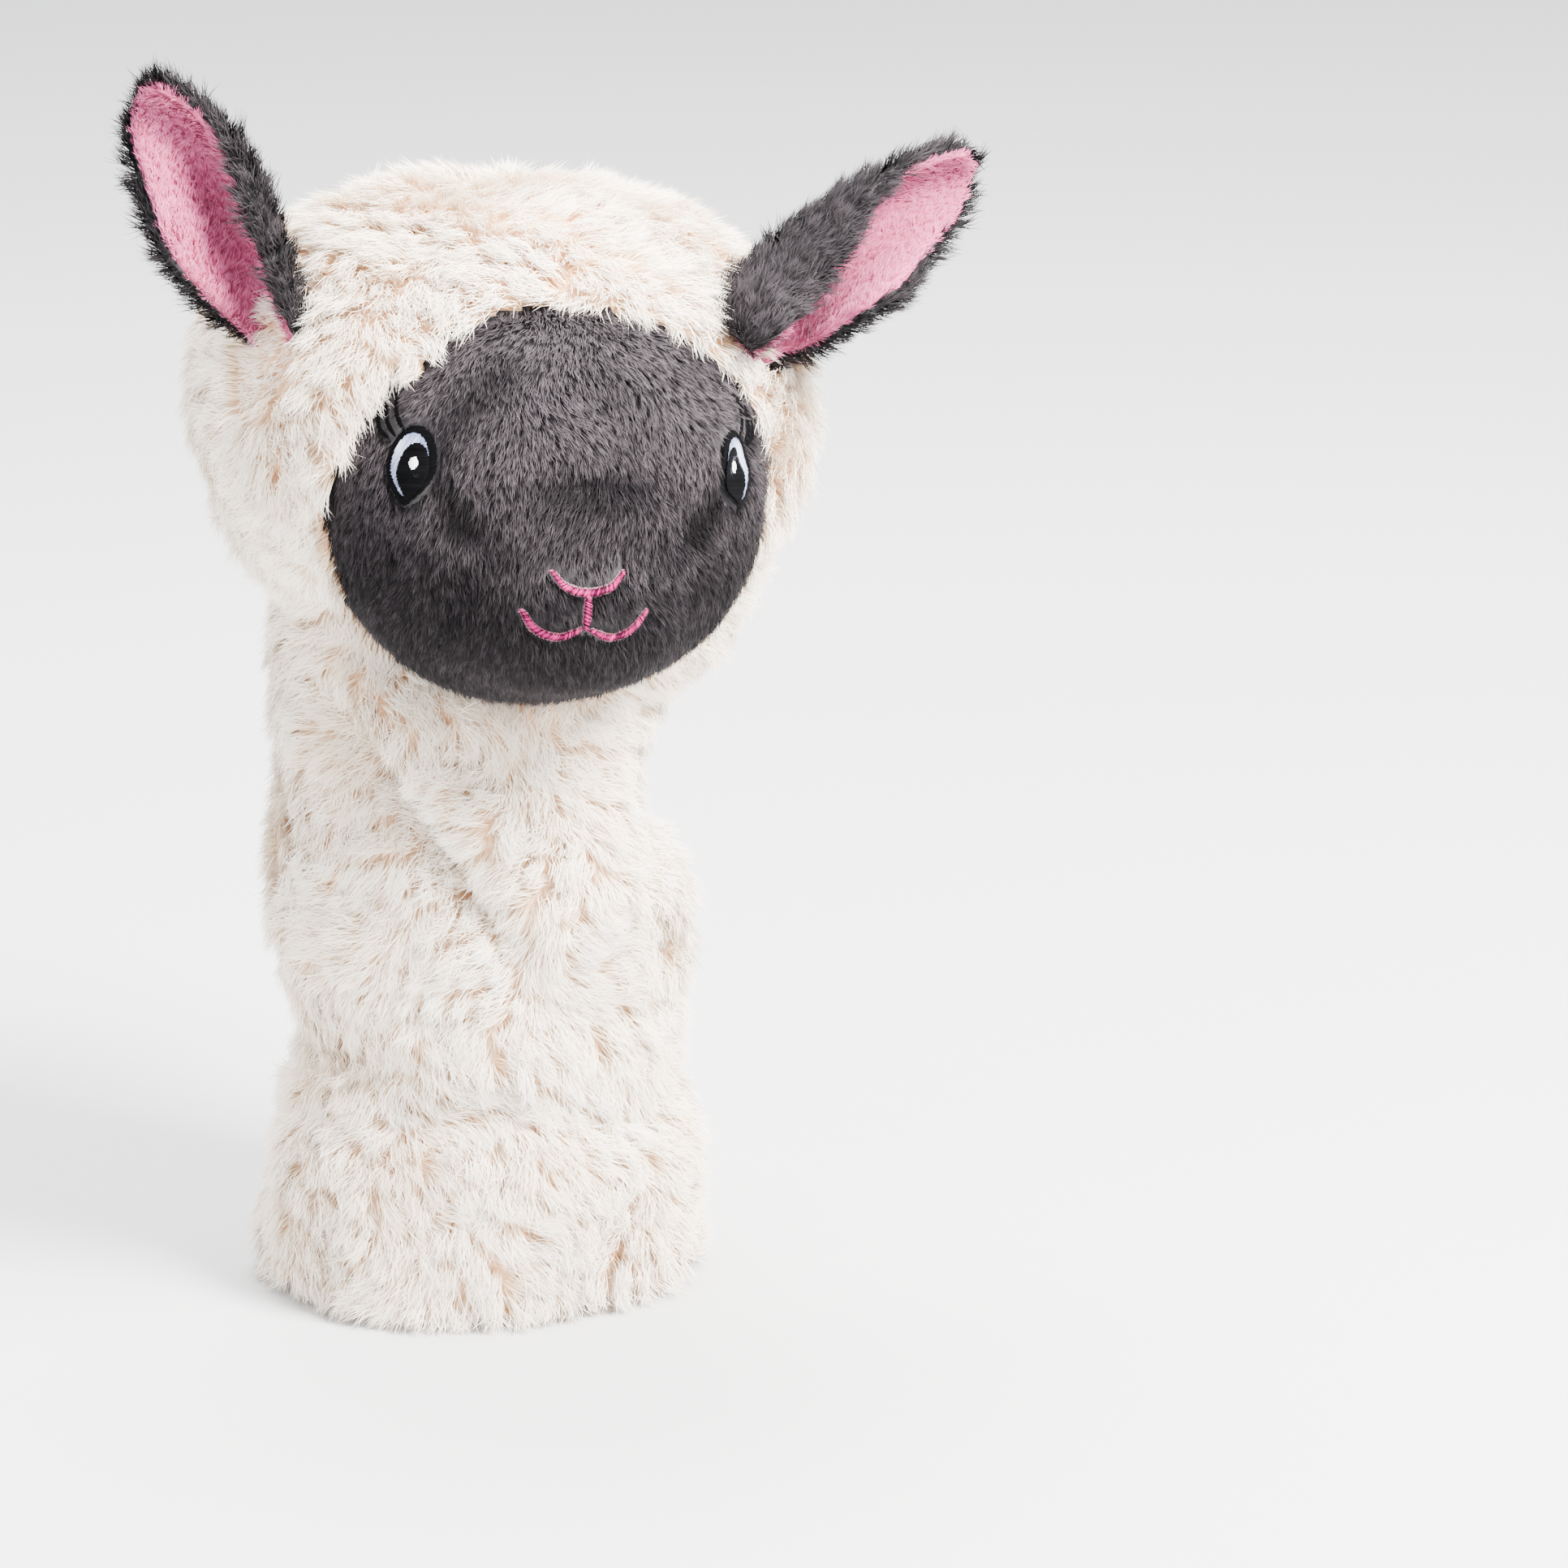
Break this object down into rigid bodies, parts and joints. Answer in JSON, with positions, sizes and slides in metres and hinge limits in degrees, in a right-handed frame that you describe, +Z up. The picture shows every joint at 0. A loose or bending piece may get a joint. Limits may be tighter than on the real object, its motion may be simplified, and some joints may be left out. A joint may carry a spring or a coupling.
{
  "type": "golf driver head cover",
  "caption": "Plush lamb-head cover for a golf driver: padded lined head with hinged ears on a furry sleeve with an elastic neck and open hem.",
  "frame": {"origin": "centre of the sleeve's mouth, in the plane of the hem", "axes": "+Z up the sleeve towards the head, -Y the way the face looks, +X to the right of someone facing the lamb; left and right in node names are as that viewer sees them"},
  "size_m": [0.2078, 0.152, 0.3247],
  "materials": {
    "cream_long_pile": "long cream faux fur with tan roots",
    "grey_short_pile": "short combed charcoal grey plush",
    "pink_short_pile": "very short pink plush",
    "black_thread": "satin stitch, black rayon thread",
    "silver_thread": "satin stitch, pale lilac-silver thread",
    "white_thread": "satin stitch, white thread",
    "pink_thread": "satin stitch, hot pink thread",
    "fibre_fill": "white polyester fibre",
    "lining_fleece": "brushed knit lining",
    "elastic": "braided elastic band",
    "lining_tape": "woven casing tape"
  },
  "bodies": {
    "cover": {"sleeve_front_panel": "cream_long_pile", "sleeve_back_panel": "cream_long_pile", "sleeve_hem_facing": "cream_long_pile", "head_throat_panel": "cream_long_pile", "head_left_panel": "cream_long_pile", "head_crown_gusset": "cream_long_pile", "head_right_panel": "cream_long_pile", "face_bridge_panel": "grey_short_pile", "face_muzzle_panel": "grey_short_pile", "face_left_cheek_panel": "grey_short_pile", "face_right_cheek_panel": "grey_short_pile", "eye_left_outline": "black_thread", "eye_left_iris": "silver_thread", "eye_left_pupil": "black_thread", "eye_left_glint": "white_thread", "eye_left_lashes": "black_thread", "eye_right_outline": "black_thread", "eye_right_iris": "silver_thread", "eye_right_pupil": "black_thread", "eye_right_glint": "white_thread", "eye_right_lashes": "black_thread", "nose_stitching": "pink_thread", "mouth_stitching": "pink_thread", "muzzle_stuffing": "fibre_fill", "head_padding": "fibre_fill", "lining_pocket": "lining_fleece", "lining_sleeve": "lining_fleece", "lining_throat": "lining_fleece", "lining_neck": "lining_fleece", "neck_elastic": "elastic", "elastic_casing": "lining_tape"},
    "ear_left": {"ear_left_back_panel": "grey_short_pile", "ear_left_batting": "fibre_fill", "ear_left_front_panel": "pink_short_pile"},
    "ear_right": {"ear_right_back_panel": "grey_short_pile", "ear_right_batting": "fibre_fill", "ear_right_front_panel": "pink_short_pile"}
  },
  "joints": [
    {"name": "ear_left_flop", "type": "hinge", "parent": "cover", "child": "ear_left", "pos_m": [-0.06122, -0.0379, 0.26341], "axis": [0, -1, 0], "range_deg": [-20, 30], "stiffness_Nm_per_rad": 0.03},
    {"name": "ear_right_flop", "type": "hinge", "parent": "cover", "child": "ear_right", "pos_m": [0.05422, -0.0486, 0.26455], "axis": [0, 1, 0], "range_deg": [-20, 30], "stiffness_Nm_per_rad": 0.03}
  ]
}
